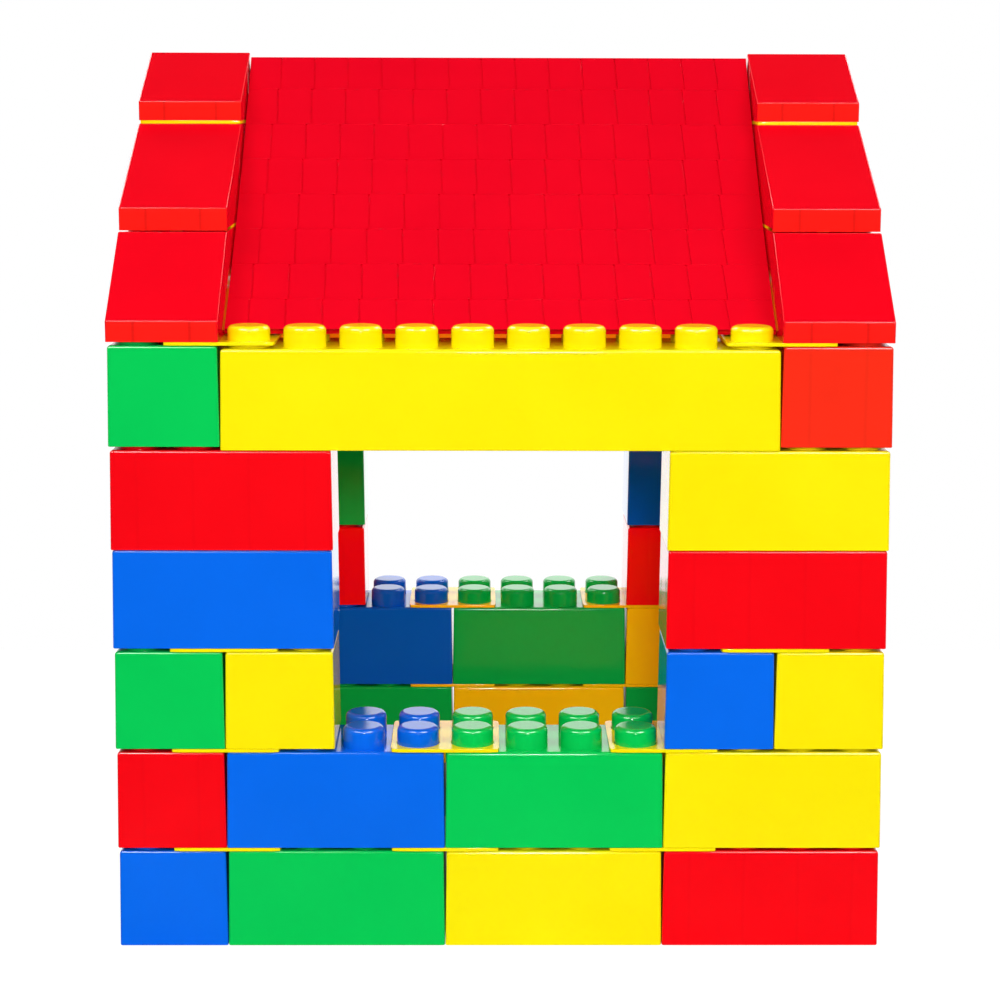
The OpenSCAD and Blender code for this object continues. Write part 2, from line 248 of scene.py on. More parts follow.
def blend_colour(nodes, links, factor, first, second, blend_type="MIX"):
    """A colour socket blended with a plain colour"""
    node = nodes.new("ShaderNodeMixRGB")
    node.blend_type = blend_type
    node.inputs["Color2"].default_value = (*second, 1)
    links.new(factor, node.inputs["Fac"])
    links.new(first, node.inputs["Color1"])
    return node.outputs["Color"]


def moulded_plastic(name, colour, roughness=BLOCK_ROUGHNESS, gloss=BLOCK_GLOSS, painted_rib_shade=None,
                    end_sheen_colour=None):
    """Plastic with flow clouds, uneven gloss and a wavy skin, and if given, rib marks darkened by painted
    shade, and front and back faces in a painted sheen colour
    """
    material, nodes, links, shader, coords = finish_nodes(name)
    shader.inputs["IOR"].default_value = PLASTIC_IOR
    shader.inputs["Specular IOR Level"].default_value = gloss

    clouds = noise(nodes, links, coords, CLOUD_SCALE, CLOUD_DETAIL)
    tint = nodes.new("ShaderNodeValToRGB")
    dark, light = tint.color_ramp.elements
    dark.position, light.position = CLOUD_START, CLOUD_END
    dark.color = (*(c * CLOUD_SHADE for c in colour), 1)
    light.color = (*colour, 1)
    links.new(clouds, tint.inputs["Fac"])
    shade = tint.outputs["Color"]
    skin = noise(nodes, links, coords, WAVE_SCALE, WAVE_DETAIL)

    facing = split(nodes, links, nodes.new("ShaderNodeNewGeometry").outputs["True Normal"])
    # Painted sheen: upright faces that face front or back get a lighter colour
    if end_sheen_colour:
        shade = blend_colour(nodes, links, upright_face(nodes, links, facing["Y"]), shade, end_sheen_colour)
    # Rib marks: a hollow in the bump, and painted shade that darkens the colour in each hollow
    if painted_rib_shade:
        place = split(nodes, links, coords.outputs["Object"])
        marks = math_node(nodes, links, "ADD", rib_mark(nodes, links, place["X"], facing["Y"]),
                          rib_mark(nodes, links, place["Y"], facing["X"]))
        painted_shade_streaks = math_node(nodes, links, "ABSOLUTE", marks)
        shade = blend_colour(nodes, links, painted_shade_streaks, shade, (painted_rib_shade, painted_rib_shade, painted_rib_shade), "MULTIPLY")
        hollows = math_node(nodes, links, "MULTIPLY", marks, RIB_MARK_DEPTH)
        skin = math_node(nodes, links, "ADD", hollows, skin)
    links.new(shade, shader.inputs["Base Color"])

    uneven = nodes.new("ShaderNodeMapRange")
    uneven.inputs["To Min"].default_value = roughness + SMOOTHER
    uneven.inputs["To Max"].default_value = roughness + ROUGHER
    links.new(clouds, uneven.inputs["Value"])
    links.new(uneven.outputs["Result"], shader.inputs["Roughness"])

    bump = nodes.new("ShaderNodeBump")
    bump.inputs["Strength"].default_value = WAVE_STRENGTH
    bump.inputs["Distance"].default_value = WAVE_H
    links.new(skin, bump.inputs["Height"])
    links.new(bump.outputs["Normal"], shader.inputs["Normal"])
    return material


# The red blocks get a faint painted shade in their rib marks
SLOT_FINISHES = {
    "red_plastic": moulded_plastic("red_moulded_plastic", RED, painted_rib_shade=0.975),
    "yellow_plastic": moulded_plastic("yellow_moulded_plastic", YELLOW),
    "blue_plastic": moulded_plastic("blue_moulded_plastic", BLUE),
    "green_plastic": moulded_plastic("green_moulded_plastic", GREEN),
}
# The sixth course's red blocks: a painted sheen, a lighter and more orange red
SHEEN_RED_PLASTIC = moulded_plastic("painted_sheen_red_moulded_plastic", SHEEN_RED, painted_rib_shade=0.95)
# Gable blocks: painted shade in the rib marks, and a painted sheen on their front and back faces
GABLE_PLASTIC = moulded_plastic("red_gable_plastic", GABLE_RED, gloss=GABLE_GLOSS, painted_rib_shade=0.82,
                                end_sheen_colour=LIP_SHEEN_RED)
ROOF_SHEET = moulded_plastic("red_roof_sheet", ROOF_RED, roughness=SHEET_ROUGHNESS, gloss=SHEET_GLOSS)


def block_finish(node):
    """The red with a painted orange sheen of the sixth course's red blocks, or else the finish of the node's
    slot
    """
    return SHEEN_RED_PLASTIC if node == "course_6_red_blocks" else SLOT_FINISHES[SLOT_OF[node]]


def round_edges(bm, edges, radius, steps):
    bmesh.ops.bevel(bm, geom=edges, offset=radius, affect="EDGES", segments=steps, profile=0.5,
                    material=-1, clamp_overlap=True)


def made_verts(result):
    """The vertices among what an operator has made"""
    return [v for v in result["geom"] if isinstance(v, bmesh.types.BMVert)]


def kept_shape(bm, name):
    """Stores a finished shape, to be laid many times"""
    mesh = bpy.data.meshes.new(name)
    bm.to_mesh(mesh)
    bm.free()
    return mesh


def lay(bm, shape, place):
    """Adds a copy of a stored shape to a piece, with its corner at the given place"""
    first = len(bm.verts)
    bm.from_mesh(shape)
    bm.verts.ensure_lookup_table()
    bmesh.ops.translate(bm, verts=bm.verts[first:], vec=place)


def make_piece(bm, name, material):
    """Turns a finished bmesh into a piece that rides for the CAD node of that name"""
    for face in bm.faces:
        face.smooth = True
    mesh = kept_shape(bm, name + "_mesh")
    mesh.set_sharp_from_angle(angle=SMOOTH_ANGLE)
    mesh.materials.append(material)
    piece = bpy.data.objects.new(name + "_piece", mesh)
    bpy.context.scene.collection.objects.link(piece)
    even = piece.modifiers.new("even_shading", "WEIGHTED_NORMAL")
    even.keep_sharp = True
    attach(piece, BODY_OF[name])
    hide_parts(name)


def stud_shape(sides, edge_steps):
    """A stud with a rounded top edge, rooted a little below the top face of its block"""
    bm = bmesh.new()
    bmesh.ops.create_cone(bm, cap_ends=True, cap_tris=False, segments=sides,
                          radius1=STUD_R, radius2=STUD_R - STUD_DRAFT, depth=STUD_H + STUD_ROOT)
    bmesh.ops.translate(bm, verts=bm.verts, vec=(0, 0, (STUD_H - STUD_ROOT) / 2))
    top_edges = [e for e in bm.edges if all(v.co.z > 0 for v in e.verts)]
    round_edges(bm, top_edges, STUD_EDGE_R, edge_steps)
    return kept_shape(bm, "stud")


BARE_STUD = stud_shape(sides=56, edge_steps=7)
COVERED_STUD = stud_shape(sides=20, edge_steps=2)


def hollow_below(bm, ceiling, fold=None):
    """Opens a shell from below: a rim of the wall's thickness, and a hollow up to the ceiling"""
    floor_face = min(bm.faces, key=lambda f: f.normal.z * f.calc_area())
    bmesh.ops.inset_region(bm, faces=[floor_face], thickness=WALL, use_even_offset=True)
    faces = [floor_face]
    if fold is not None:
        geom = faces + list(floor_face.edges) + list(floor_face.verts)
        cut = bmesh.ops.bisect_plane(bm, geom=geom, plane_co=(0, fold, 0), plane_no=(0, 1, 0))
        faces = [f for f in cut["geom"] if isinstance(f, bmesh.types.BMFace)]
    raised = made_verts(bmesh.ops.extrude_face_region(bm, geom=faces))
    bmesh.ops.delete(bm, geom=[f for f in faces if f.is_valid], context="FACES_ONLY")
    for v in raised:
        v.co.z = ceiling(v.co.y)


def add_tube(bm, x, y, ceiling):
    """A tube that grips four studs, from the rim up into the ceiling"""
    first = len(bm.verts)
    inner_r = TUBE_R - TUBE_WALL
    corners = [bm.verts.new((r, 0, z)) for r, z in ((inner_r, 0), (TUBE_R, 0), (TUBE_R, 1), (inner_r, 1))]
    section = [bm.edges.new((corners[k], corners[k - 1])) for k in range(len(corners))]
    bmesh.ops.spin(bm, geom=corners + section, cent=(0, 0, 0), axis=(0, 0, 1), angle=2 * math.pi,
                   steps=TUBE_SIDES, use_merge=True, use_duplicate=False)
    bm.verts.ensure_lookup_table()
    tube = bm.verts[first:]
    bmesh.ops.translate(bm, verts=tube, vec=(x, y, 0))
    # The section was drawn from 0 to 1: its ends now go to the rim and into the ceiling
    for v in tube:
        v.co.z = ceiling(v.co.y) + GRIP_SINK if v.co.z > 0.5 else FIT
    bmesh.ops.recalc_face_normals(bm, faces=list({f for v in tube for f in v.link_faces}))


def add_rib(bm, x, y, size_x, size_y):
    """An upright rib on the inside of a wall"""
    height = BLOCK_H - CAP
    rib = bmesh.ops.create_cube(bm, size=1)["verts"]
    bmesh.ops.scale(bm, verts=rib, vec=(size_x, size_y, height))
    bmesh.ops.translate(bm, verts=rib, vec=(x, y, height / 2 + FIT))


def block_shell(length, width):
    """A closed box with leaning sides and rounded edges"""
    bm = bmesh.new()
    bmesh.ops.create_cube(bm, size=1)
    bmesh.ops.scale(bm, verts=bm.verts, vec=(length - 2 * SIDE_GAP, width - 2 * SIDE_GAP, BLOCK_H))
    bmesh.ops.translate(bm, verts=bm.verts, vec=(length / 2, width / 2, BLOCK_H / 2))
    top = [v for v in bm.verts if v.co.z > BLOCK_H / 2]
    bmesh.ops.scale(bm, verts=top, vec=(1 - 2 * DRAFT / length, 1 - 2 * DRAFT / width, 1),
                    space=Matrix.Translation((-length / 2, -width / 2, 0)))

    def off_corner(v):
        """How far a vertex lies from the upright plane that halves its corner"""
        return abs(length / 2 - abs(v.co.x - length / 2) - width / 2 + abs(v.co.y - width / 2))

    def plan_length(e):
        """Length of an edge seen from above"""
        a, b = e.verts
        return (a.co.xy - b.co.xy).length

    top_edges = [e for e in bm.edges if all(v.co.z > BLOCK_H / 2 for v in e.verts)]
    round_edges(bm, top_edges, TOP_EDGE_R, TOP_EDGE_STEPS)
    corners = [e for e in bm.edges
               if all(off_corner(v) < TOUCH for v in e.verts) and plan_length(e) < PITCH / 2]
    round_edges(bm, corners, CORNER_R, CORNER_STEPS)
    rim = [e for e in bm.edges if all(v.co.z < TOUCH for v in e.verts)]
    round_edges(bm, rim, RIM_EDGE_R, RIM_EDGE_STEPS)
    return bm


def block_shape(nx, ny, stud):
    """A hollow block of nx by ny studs, with its ribs, tubes and studs"""
    length, width = nx * PITCH, ny * PITCH

    def ceiling(_):
        """Height of the hollow, the same all over"""
        return BLOCK_H - CAP

    bm = block_shell(length, width)
    hollow_below(bm, ceiling)
    rib_depth = PITCH / 2 - STUD_R - FIT - WALL
    rib_in = WALL + rib_depth / 2
    for i in range(nx):
        for y in (rib_in, width - rib_in):
            add_rib(bm, (i + 0.5) * PITCH, y, RIB_W, rib_depth)
    for j in range(ny):
        for x in (rib_in, length - rib_in):
            add_rib(bm, x, (j + 0.5) * PITCH, rib_depth, RIB_W)
    for i in range(1, nx):
        for j in range(1, ny):
            add_tube(bm, i * PITCH, j * PITCH, ceiling)
    for i in range(nx):
        for j in range(ny):
            lay(bm, stud, ((i + 0.5) * PITCH, (j + 0.5) * PITCH, BLOCK_H))
    return kept_shape(bm, "block")


def roof_shell(outline):
    """A roof block's shell: its side outline drawn across two studs, with rounded edges"""
    bm = bmesh.new()
    side = bm.faces.new([bm.verts.new((SIDE_GAP, y, z)) for y, z in outline])
    pushed = made_verts(bmesh.ops.extrude_face_region(bm, geom=[side]))
    bmesh.ops.translate(bm, verts=pushed, vec=(WALL_STUDS * PITCH - 2 * SIDE_GAP, 0, 0))
    bmesh.ops.recalc_face_normals(bm, faces=bm.faces)
    round_edges(bm, [e for e in bm.edges if any(v.co.z > 0 for v in e.verts)], ROOF_EDGE_R, ROOF_EDGE_STEPS)
    return bm


def add_roof_tubes(bm, ceiling):
    """The row of tubes along the middle of a roof block"""
    for j in range(1, ROOF_STUDS):
        add_tube(bm, PITCH, j * PITCH, ceiling)


def slope_shape(run, first_stud_row, drip=False):
    """A roof block with its slope at the front, and studs on the flat behind it"""
    front, end = SIDE_GAP, ROOF_DEPTH - SIDE_GAP
    foot = [(front, 0)]
    if drip:
        foot = [(front + DRIP_T, 0), (front + DRIP_T, -DRIP_H), (front, -DRIP_H)]
    bm = roof_shell(foot + [(front, LIP_H), (run, BLOCK_H), (end - DRAFT, BLOCK_H), (end, 0)])
    rise = (BLOCK_H - LIP_H) / (run - front)
    skin = CAP * math.hypot(1, rise)

    def ceiling(y):
        """Height of the hollow below the slope and the flat"""
        return min(LIP_H + rise * (y - front) - skin, BLOCK_H - CAP)

    hollow_below(bm, ceiling, fold=run + (skin - CAP) / rise)
    add_roof_tubes(bm, ceiling)
    for i in range(WALL_STUDS):
        for j in range(first_stud_row, ROOF_STUDS):
            lay(bm, COVERED_STUD, ((i + 0.5) * PITCH, (j + 0.5) * PITCH, BLOCK_H))
    return bm


def ridge_shape():
    """A roof block with two slopes that meet at the ridge"""
    front, middle, end = SIDE_GAP, ROOF_DEPTH / 2, ROOF_DEPTH - SIDE_GAP
    bm = roof_shell([(front, 0), (front, LIP_H), (middle, RIDGE_H), (end, LIP_H), (end, 0)])
    rise = (RIDGE_H - LIP_H) / (middle - front)
    skin = CAP * math.hypot(1, rise)

    def ceiling(y):
        """Height of the hollow below the two slopes"""
        return RIDGE_H - rise * abs(y - middle) - skin

    hollow_below(bm, ceiling, fold=middle)
    add_roof_tubes(bm, ceiling)
    return bm


def turned(bm):
    """The same roof block turned half round, with its corner back at the origin"""
    bmesh.ops.rotate(bm, verts=bm.verts, cent=(PITCH, ROOF_DEPTH / 2, 0), matrix=HALF_TURN)
    return bm


def add_plate_quarter(bm, x, y):
    """A square around one stud hole, with its middle at the given place"""
    ring = bmesh.ops.create_circle(bm, cap_ends=False, segments=PLATE_HOLE_SIDES,
                                   radius=PLATE_HOLE_R)["verts"]
    edges = list({e for v in ring for e in v.link_edges})
    outer = made_verts(bmesh.ops.extrude_edge_only(bm, edges=edges))
    for v in outer:
        v.co *= PITCH / 2 / max(abs(v.co.x), abs(v.co.y))
    bmesh.ops.translate(bm, verts=ring + outer, vec=(x, y, 0))


def plate_shape():
    """A connector plate: four holes, rounded corners and softened edges"""
    bm = bmesh.new()
    for x in (-PITCH / 2, PITCH / 2):
        for y in (-PITCH / 2, PITCH / 2):
            add_plate_quarter(bm, x, y)
    bmesh.ops.remove_doubles(bm, verts=bm.verts, dist=WELD)
    half = PITCH - PLATE_GAP
    straight = half - PLATE_CORNER_R
    for v in bm.verts:
        v.co.x = max(-half, min(half, v.co.x))
        v.co.y = max(-half, min(half, v.co.y))
        corner = Vector((math.copysign(straight, v.co.x), math.copysign(straight, v.co.y), 0))
        if abs(v.co.x) > straight and abs(v.co.y) > straight:
            v.co = corner + (v.co - corner).normalized() * PLATE_CORNER_R
    bmesh.ops.recalc_face_normals(bm, faces=bm.faces)
    raised = made_verts(bmesh.ops.extrude_face_region(bm, geom=list(bm.faces)))
    bmesh.ops.translate(bm, verts=raised, vec=(0, 0, PLATE_T))
    bmesh.ops.recalc_face_normals(bm, faces=bm.faces)
    rims = [e for e in bm.edges if e.calc_face_angle(0) > PLATE_RIM_ANGLE]
    round_edges(bm, rims, PLATE_EDGE_R, PLATE_EDGE_STEPS)
    bmesh.ops.translate(bm, verts=bm.verts, vec=(PITCH, PITCH, 0))
    return kept_shape(bm, "plate")


# Where each CAD node's blocks lie: stud columns from the left, stud rows from the front
FULL_X, FULL_Y, HALF, LINTEL_X, LINTEL_Y = (4, 2), (2, 4), (2, 2), (10, 2), (2, 10)
BLOCKS = {
    "course_1_front_left_block": [(FULL_X, 2, 0)],
    "course_1_front_middle_block": [(FULL_X, 6, 0)],
    "course_1_front_right_block": [(FULL_X, 10, 0)],
    "course_1_green_blocks": [(FULL_X, 2, 12), (FULL_X, 10, 12), (FULL_Y, 0, 8)],
    "course_1_yellow_blocks": [(FULL_X, 6, 12), (FULL_Y, 0, 4), (HALF, 12, 10)],
    "course_1_blue_blocks": [(FULL_Y, 0, 0), (HALF, 0, 12), (HALF, 12, 2)],
    "course_2_front_left_block": [(FULL_X, 2, 0)],
    "course_2_front_middle_block": [(FULL_X, 6, 0)],
    "course_2_front_right_block": [(FULL_X, 10, 0)],
    "course_2_blue_blocks": [(FULL_X, 2, 12), (HALF, 12, 10)],
    "course_2_green_blocks": [(FULL_X, 6, 12), (FULL_Y, 0, 4)],
    "course_2_yellow_blocks": [(FULL_X, 10, 12), (FULL_Y, 0, 8)],
    "course_2_red_blocks": [(FULL_Y, 0, 0), (HALF, 0, 12), (HALF, 12, 2)],
    "course_3_left_jamb_block": [(HALF, 2, 0)],
    "course_3_right_jamb_block": [(HALF, 10, 0)],
    "course_3_red_blocks": [(HALF, 2, 12), (HALF, 10, 12), (FULL_Y, 0, 4)],
    "course_3_green_blocks": [(FULL_Y, 0, 0), (FULL_Y, 0, 10), (FULL_Y, 12, 10)],
    "course_3_yellow_blocks": [(FULL_Y, 12, 0), (HALF, 0, 8)],
    "course_4_left_jamb_block": [(FULL_X, 0, 0)],
    "course_4_right_jamb_block": [(FULL_X, 10, 0)],
    "course_4_green_blocks": [(FULL_X, 0, 12), (HALF, 12, 2)],
    "course_4_blue_blocks": [(FULL_X, 10, 12), (FULL_Y, 0, 6)],
    "course_4_yellow_blocks": [(FULL_Y, 0, 2), (HALF, 0, 10), (HALF, 12, 10)],
    "course_5_left_jamb_block": [(FULL_X, 0, 0)],
    "course_5_right_jamb_block": [(FULL_X, 10, 0)],
    "course_5_yellow_blocks": [(FULL_X, 0, 12), (FULL_Y, 0, 6)],
    "course_5_red_blocks": [(FULL_X, 10, 12), (HALF, 0, 10), (HALF, 12, 2)],
    "course_5_green_blocks": [(FULL_Y, 0, 2), (HALF, 12, 10)],
    "front_lintel": [(LINTEL_X, 2, 0)],
    "rear_and_door_lintels": [(LINTEL_X, 2, 12), (LINTEL_Y, 12, 2)],
    "course_6_green_blocks": [(FULL_Y, 0, 0), (HALF, 0, 8), (HALF, 12, 12)],
    "course_6_red_blocks": [(HALF, 12, 0), (FULL_Y, 0, 4), (FULL_Y, 0, 10)],
    "left_lower_infill_blocks": [(FULL_Y, 0, 4), (HALF, 0, 8)],
    "left_upper_infill_block": [(HALF, 0, 6)],
    "right_lower_infill_blocks": [(FULL_Y, 12, 4), (HALF, 12, 8)],
    "right_upper_infill_block": [(HALF, 12, 6)],
}
BARE_STUD_NODES = [
    "course_2_front_left_block", "course_2_front_middle_block", "course_2_front_right_block",
    "course_2_blue_blocks", "course_2_green_blocks", "course_2_yellow_blocks",
    "front_lintel", "rear_and_door_lintels",
]
LOW_JOINTS = [(1, 0), (5, 0), (9, 0), (5, 12), (9, 12), (0, 3), (0, 7), (0, 11), (12, 1), (12, 11)]
SILL_COLUMN = 5
PLATES = {
    "course_1_plates": LOW_JOINTS,
    "course_2_plates": [place for place in LOW_JOINTS if place[0] != SILL_COLUMN],
    "front_sill_plate": [(SILL_COLUMN, 0)],
    "rear_sill_plate": [(SILL_COLUMN, 12)],
    "course_3_plates": [(1, 0), (11, 0), (1, 12), (11, 12), (0, 3), (0, 7), (0, 9)],
    "course_5_plates": [(0, 1), (0, 5), (0, 9), (0, 11), (12, 1), (12, 11)],
    "course_6_plates": [(1, 0), (11, 0), (1, 12), (11, 12), (0, 3), (0, 7), (0, 9),
                        (12, 3), (12, 7), (12, 9)],
    "left_lower_plates": [(0, 3), (0, 7), (0, 9)],
    "left_upper_plates": [(0, 5), (0, 7)],
    "right_lower_plates": [(12, 3), (12, 7), (12, 9)],
    "right_upper_plates": [(12, 5), (12, 7)],
}
GABLE_COLUMNS = {"left": 0, "right": 12}
GABLE_ROWS = {
    "lower_front_slope": 0, "lower_rear_slope": 10,
    "upper_front_slope": 2, "upper_rear_slope": 8,
    "ridge_block": 5,
}


def at(i, j, z):
    """Place of a stud column and row at a level"""
    return Vector(((i - HALF_HOUSE) * PITCH, (j - HALF_HOUSE) * PITCH, z))


def level(node):
    """Underside of a CAD node"""
    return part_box(node)[0][2]


# Wall and infill blocks
block_shapes = {}
for name, blocks in BLOCKS.items():
    stud = BARE_STUD if name in BARE_STUD_NODES else COVERED_STUD
    bm = bmesh.new()
    for studs, i, j in blocks:
        if (studs, stud) not in block_shapes:
            block_shapes[studs, stud] = block_shape(*studs, stud)
        # The door lintel stands on plates, one plate higher than the rear one
        rise = PLATE_T if studs == LINTEL_Y else 0
        lay(bm, block_shapes[studs, stud], at(i, j, level(name) + rise))
    make_piece(bm, name, block_finish(name))

# Connector plates
plate = plate_shape()
for name, places in PLATES.items():
    bm = bmesh.new()
    for i, j in places:
        lay(bm, plate, at(i, j, level(name)))
    make_piece(bm, name, SLOT_FINISHES[SLOT_OF[name]])

# Gable roof blocks, the same on both sides
roof_shapes = {
    "lower_front_slope": kept_shape(slope_shape(LOWER_RUN, LOWER_STUD_ROW), "lower_front"),
    "lower_rear_slope": kept_shape(turned(slope_shape(LOWER_RUN, LOWER_STUD_ROW)), "lower_rear"),
    "upper_front_slope": kept_shape(slope_shape(UPPER_RUN, UPPER_STUD_ROW, drip=True), "upper_front"),
    "upper_rear_slope": kept_shape(turned(slope_shape(UPPER_RUN, UPPER_STUD_ROW, drip=True)), "upper_rear"),
    "ridge_block": kept_shape(ridge_shape(), "ridge"),
}
for side, column in GABLE_COLUMNS.items():
    for part, shape in roof_shapes.items():
        name = f"{side}_{part}"
        bm = bmesh.new()
        lay(bm, shape, at(column, GABLE_ROWS[part], level(name)))
        make_piece(bm, name, GABLE_PLASTIC)


def panel_slope():
    """Foot of the sheet, the way from there to the ridge, and half the width, from the CAD sheet's box"""
    low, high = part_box("front_roof_panel")
    ridge_end = Vector((-RIDGE_GAP, high[2]))
    angle = FIRST_SLOPE
    for _ in range(SLOPE_ROUNDS):
        foot = Vector((low[1] + CAD_TILE_STEP * math.sin(angle), low[2] + FOOT_EDGE_H * math.cos(angle)))
        span = ridge_end - foot
        angle = math.atan2(span.y, span.x)
    return foot, span, high[0]


PANEL_FOOT, PANEL_SPAN, PANEL_HALF_W = panel_slope()
SLOPE_LEN = PANEL_SPAN.length
ROW_ENDS = [0, *(TOP_TILE_LEN + TILE_LEN * k for k in range(len(ROW_OFFSETS) - 1)), SLOPE_LEN]


def hang(bm):
    """Bends a flat panel, drawn as x, distance down the slope and height, into its shallow curve"""
    along = PANEL_SPAN.normalized()
    up = Vector((-along.y, along.x))
    for v in bm.verts:
        u = 1 - v.co.y / SLOPE_LEN
        point = PANEL_FOOT + along * (SLOPE_LEN - v.co.y) + up * (v.co.z - 4 * PANEL_SAG * u * (1 - u))
        v.co = Vector((v.co.x, point.x, point.y))


def add_tile(bm, row, column):
    """One tile of the relief, leaning with its row and raised at its lower edge"""
    tile = bmesh.ops.create_cube(bm, size=1)["verts"]
    for v in tile:
        lower, right, top = v.co.y > 0, v.co.x > 0, v.co.z > 0
        line = column if right else column - 1
        if line < 0:
            x = -PANEL_HALF_W
        elif line >= TILE_JOINTS:
            x = PANEL_HALF_W
        else:
            x = FIRST_TILE_JOINT + line * TILE_W - ROW_OFFSETS[row] + (TILE_LEAN if lower else 0)
            x += -TILE_JOINT / 2 if right else TILE_JOINT / 2
        y = ROW_ENDS[row + 1] if lower else ROW_ENDS[row]
        z = -TILE_JOINT_DEPTH - TILE_ROOT
        if top:
            z = TILE_LAP if lower else 0
        v.co = Vector((x, y, z))
    edges = {e for v in tile for e in v.link_edges}
    top_edges = [e for e in edges if all(v.co.z > -TILE_JOINT_DEPTH for v in e.verts)]
    round_edges(bm, top_edges, TILE_EDGE_R, TILE_EDGE_STEPS)


def panel_shape():
    """The tiled sheet with its edge turned down along the foot"""
    bm = bmesh.new()
    bmesh.ops.create_cube(bm, size=1)
    bmesh.ops.scale(bm, verts=bm.verts, vec=(2 * PANEL_HALF_W, SLOPE_LEN, PANEL_T - TILE_JOINT_DEPTH))
    bmesh.ops.translate(bm, verts=bm.verts, vec=(0, SLOPE_LEN / 2, -(PANEL_T + TILE_JOINT_DEPTH) / 2))
    for y in ROW_ENDS[1:-1]:
        bmesh.ops.bisect_plane(bm, geom=list(bm.verts) + list(bm.edges) + list(bm.faces),
                               plane_co=(0, y, 0), plane_no=(0, 1, 0))
    foot_edge = bmesh.ops.create_cube(bm, size=1)["verts"]
    bmesh.ops.scale(bm, verts=foot_edge, vec=(2 * PANEL_HALF_W, PANEL_T, FOOT_EDGE_H))
    bmesh.ops.translate(bm, verts=foot_edge, vec=(0, SLOPE_LEN - PANEL_T / 2, -FOOT_EDGE_H / 2))
    for row in range(len(ROW_OFFSETS)):
        for column in range(TILE_JOINTS + 1):
            add_tile(bm, row, column)
    hang(bm)
    bmesh.ops.recalc_face_normals(bm, faces=bm.faces)
    return bm


# Roof panels: the same sheet twice, turned round for the rear
make_piece(panel_shape(), "front_roof_panel", ROOF_SHEET)
rear_panel = panel_shape()
bmesh.ops.rotate(rear_panel, verts=rear_panel.verts, cent=(0, 0, 0), matrix=HALF_TURN)
make_piece(rear_panel, "rear_roof_panel", ROOF_SHEET)

# White studio: the camera sees white, matt surfaces get an even soft light,
# and gloss shows a white backdrop behind the house and a dim room in front, overhead and underfoot
SKY_LIGHT = 0.45
DIM_ROOM = 0.03
BACKDROP = 1
LOW_BACKDROP = 1.3
# Directions over which the backdrop fades in or out, as parts of a unit vector
BEHIND_FADE = (0, 0.5)
OVERHEAD_FADE = (0.4, 0.75)
LOW_FADE = (-0.03, -0.1)
UNDERFOOT_FADE = (-0.29, -0.2)


def light_studio():
    """The world, as camera, gloss and matt surfaces see it"""
    world = bpy.data.worlds.new("white_studio")
    bpy.context.scene.world = world
    world.use_nodes = True
    nodes, links = world.node_tree.nodes, world.node_tree.links
    toward = split(nodes, links, nodes.new("ShaderNodeTexCoord").outputs["Generated"])
    behind = fade(nodes, links, toward["Y"], *BEHIND_FADE)
    overhead = fade(nodes, links, toward["Z"], *OVERHEAD_FADE)
    low = fade(nodes, links, toward["Z"], *LOW_FADE)
    above_floor = fade(nodes, links, toward["Z"], *UNDERFOOT_FADE)
    white = mix_value(nodes, links, low, BACKDROP, LOW_BACKDROP)
    backdrop = mix_value(nodes, links, behind, DIM_ROOM, white)
    below_ceiling = mix_value(nodes, links, overhead, backdrop, DIM_ROOM)
    studio = mix_value(nodes, links, above_floor, DIM_ROOM, below_ceiling)
    rays = nodes.new("ShaderNodeLightPath").outputs
    mirrored = math_node(nodes, links, "MAXIMUM", rays["Is Glossy Ray"], rays["Is Transmission Ray"])
    strength = mix_value(nodes, links, mirrored, SKY_LIGHT, studio)
    strength = mix_value(nodes, links, rays["Is Camera Ray"], strength, 1)
    background = nodes["Background"]
    background.inputs["Color"].default_value = (1, 1, 1, 1)
    links.new(strength, background.inputs["Strength"])


light_studio()

# Floor: white where it is seen, with a soft shadow of the house, and painted shade on the floor inside the
# house
FLOOR_REACH = 2.4
FLOOR_PAINT = 0.85
FLOOR_GLOW = 1.16
FLOOR_GLOW_SHARE = 0.75
# How little the floor inside the house glows: painted shade
PAINTED_SHADE_FLOOR_GLOW = 0.07
ROOM_HALF = (HALF_HOUSE - 1) * PITCH


def floor_finish():
    """Matt white paint that glows where it is seen, and far less inside the house, as painted shade"""
    material, nodes, links, shader, coords = finish_nodes("white_floor")
    nodes.remove(shader)
    paint = nodes.new("ShaderNodeBsdfDiffuse")
    paint.inputs["Color"].default_value = (FLOOR_PAINT, FLOOR_PAINT, FLOOR_PAINT, 1)
    place = split(nodes, links, coords.outputs["Object"])
    off_middle = math_node(nodes, links, "MAXIMUM", math_node(nodes, links, "ABSOLUTE", place["X"]),
                           math_node(nodes, links, "ABSOLUTE", place["Y"]))
    outdoors = math_node(nodes, links, "GREATER_THAN", off_middle, ROOM_HALF)
    glow = nodes.new("ShaderNodeEmission")
    glow.inputs["Color"].default_value = (1, 1, 1, 1)
    # Inside the house the glow drops to painted shade
    links.new(mix_value(nodes, links, outdoors, PAINTED_SHADE_FLOOR_GLOW, FLOOR_GLOW), glow.inputs["Strength"])
    rays = nodes.new("ShaderNodeLightPath").outputs
    mirrored = math_node(nodes, links, "MAXIMUM", rays["Is Glossy Ray"], rays["Is Transmission Ray"])
    seen = math_node(nodes, links, "MAXIMUM", rays["Is Camera Ray"], mirrored)
    blend = nodes.new("ShaderNodeMixShader")
    links.new(math_node(nodes, links, "MULTIPLY", seen, FLOOR_GLOW_SHARE), blend.inputs["Fac"])
    links.new(paint.outputs["BSDF"], blend.inputs[1])
    links.new(glow.outputs["Emission"], blend.inputs[2])
    links.new(blend.outputs["Shader"], nodes["Material Output"].inputs["Surface"])
    return material


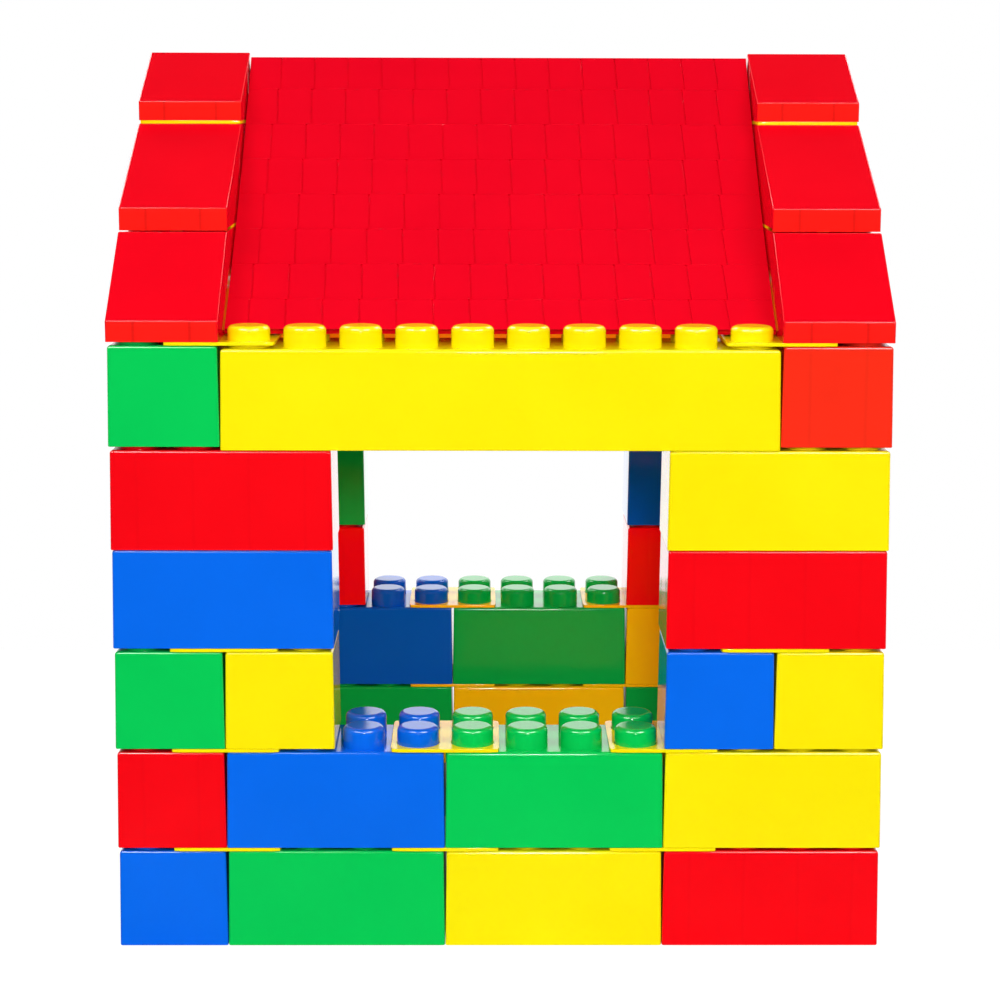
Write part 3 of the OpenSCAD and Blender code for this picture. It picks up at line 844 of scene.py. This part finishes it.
bm = bmesh.new()
bmesh.ops.create_grid(bm, x_segments=1, y_segments=1, size=FLOOR_REACH / 2)
floor = bpy.data.objects.new("floor", kept_shape(bm, "floor_mesh"))
bpy.context.scene.collection.objects.link(floor)
floor.visible_glossy = False
floor.data.materials.append(floor_finish())


def softbox(name, place, target, size, power, colour=(1, 1, 1)):
    """A rectangular area lamp aimed at a point"""
    light = bpy.data.lights.new(name, "AREA")
    light.shape = "RECTANGLE"
    light.size, light.size_y = size
    light.energy = power
    light.color = colour
    lamp = bpy.data.objects.new(name, light)
    lamp.location = place
    lamp.rotation_euler = (Vector(target) - Vector(place)).to_track_quat("-Z", "Y").to_euler()
    bpy.context.scene.collection.objects.link(lamp)
    return lamp


# Lamps: places and sizes in metres, power in watts
FRONT_WALL = (0, -0.45, 0.4)
softbox("key_light", place=(0.1, -3.6, 1.5), target=(0, 0, 0.5), size=(0.35, 0.35), power=41)
for side, x in (("left", -1.3), ("right", 1.3)):
    softbox(f"{side}_softbox", place=(x, -2.0, 2.8), target=FRONT_WALL, size=(1.1, 0.45), power=22)
for side, x in (("left", -1.8), ("right", 1.8)):
    softbox(f"rear_{side}_softbox", place=(x, 1.9, 3.0), target=(0, 0.3, 0.6), size=(1.2, 1.2), power=34)
# White cards that show in gloss and light no matt surface
for side, x in (("left", -1.3), ("right", 1.3)):
    front_card = softbox(f"{side}_card", place=(x, -2.05, 2.85), target=FRONT_WALL, size=(2.0, 1.1),
                         power=80)
    front_card.visible_diffuse = False
rear_card = softbox("rear_card", place=(0, 2.2, 0.9), target=(0, 0, 0.9), size=(3.2, 1.1), power=7)
rear_card.visible_diffuse = False
rear_card.visible_camera = False
# Warm light that comes through the red roof into the room, from a lamp that isn't seen
room_lamp = softbox("roof_glow", place=(0, -0.2, 0.8), target=(0, 0.4, 0.3), size=(0.6, 0.2), power=2.7,
                    colour=(1, 0.16, 0.03))
room_lamp.visible_glossy = False
room_lamp.visible_camera = False

# Camera, fitted to the photograph's corners
CAMERA_PLACE = Vector((-0.0259, -3.7592, 1.2087))
CAMERA_PITCH = math.radians(10.178)
CAMERA_YAW = math.radians(0.449)
CAMERA_ROLL = math.radians(0.148)
FOCAL_PIXELS = 2448.9
IMAGE_PIXELS = 1000
SENSOR_MM = 36
camera_data = bpy.data.cameras.new("photo_camera")
camera_data.sensor_width = SENSOR_MM
camera_data.lens = SENSOR_MM * FOCAL_PIXELS / IMAGE_PIXELS
camera = bpy.data.objects.new("photo_camera", camera_data)
turn = (Matrix.Rotation(-CAMERA_YAW, 4, "Z") @ Matrix.Rotation(math.pi / 2 - CAMERA_PITCH, 4, "X")
        @ Matrix.Rotation(CAMERA_ROLL, 4, "Z"))
camera.matrix_world = Matrix.Translation(CAMERA_PLACE) @ turn
bpy.context.scene.collection.objects.link(camera)
bpy.context.scene.camera = camera
bpy.context.scene.view_settings.view_transform = "Standard"
